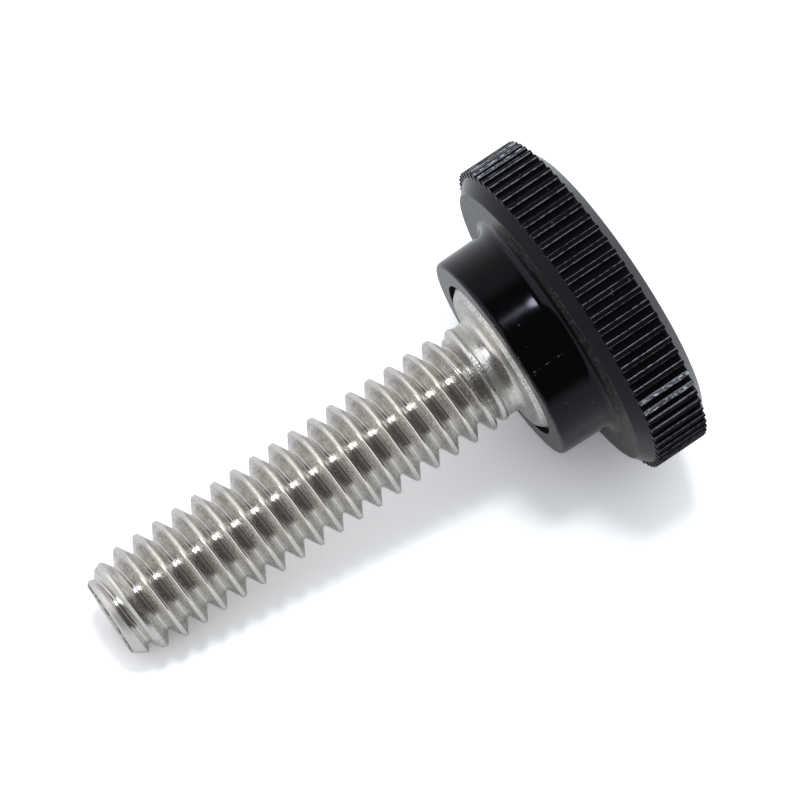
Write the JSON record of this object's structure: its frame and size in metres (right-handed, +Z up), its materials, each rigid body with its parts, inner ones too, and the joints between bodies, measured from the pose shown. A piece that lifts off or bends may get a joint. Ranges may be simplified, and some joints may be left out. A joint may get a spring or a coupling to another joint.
{
  "type": "thumb screw",
  "caption": "Thumb screw: a steel screw whose round head is pressed into a black plastic knob with a straight-knurled rim and a hub, turned by hand.",
  "frame": {"origin": "middle of the thumb screw's box, on the surface that it lies on", "axes": "+Z up; +X from the thread's tip towards the knob, so the screw's axis leans in the XZ plane with the tip down; Y across"},
  "size_m": [0.0348, 0.0194, 0.0196],
  "materials": {
    "black_plastic": "glossy moulded black plastic, with a fine grain on the flat ring under the rim",
    "stainless_steel": "rolled and turned stainless steel, bright on the thread's flanks and satin on the head"
  },
  "bodies": {
    "root": {"knob": "black_plastic", "screw": "stainless_steel"}
  },
  "joints": []
}
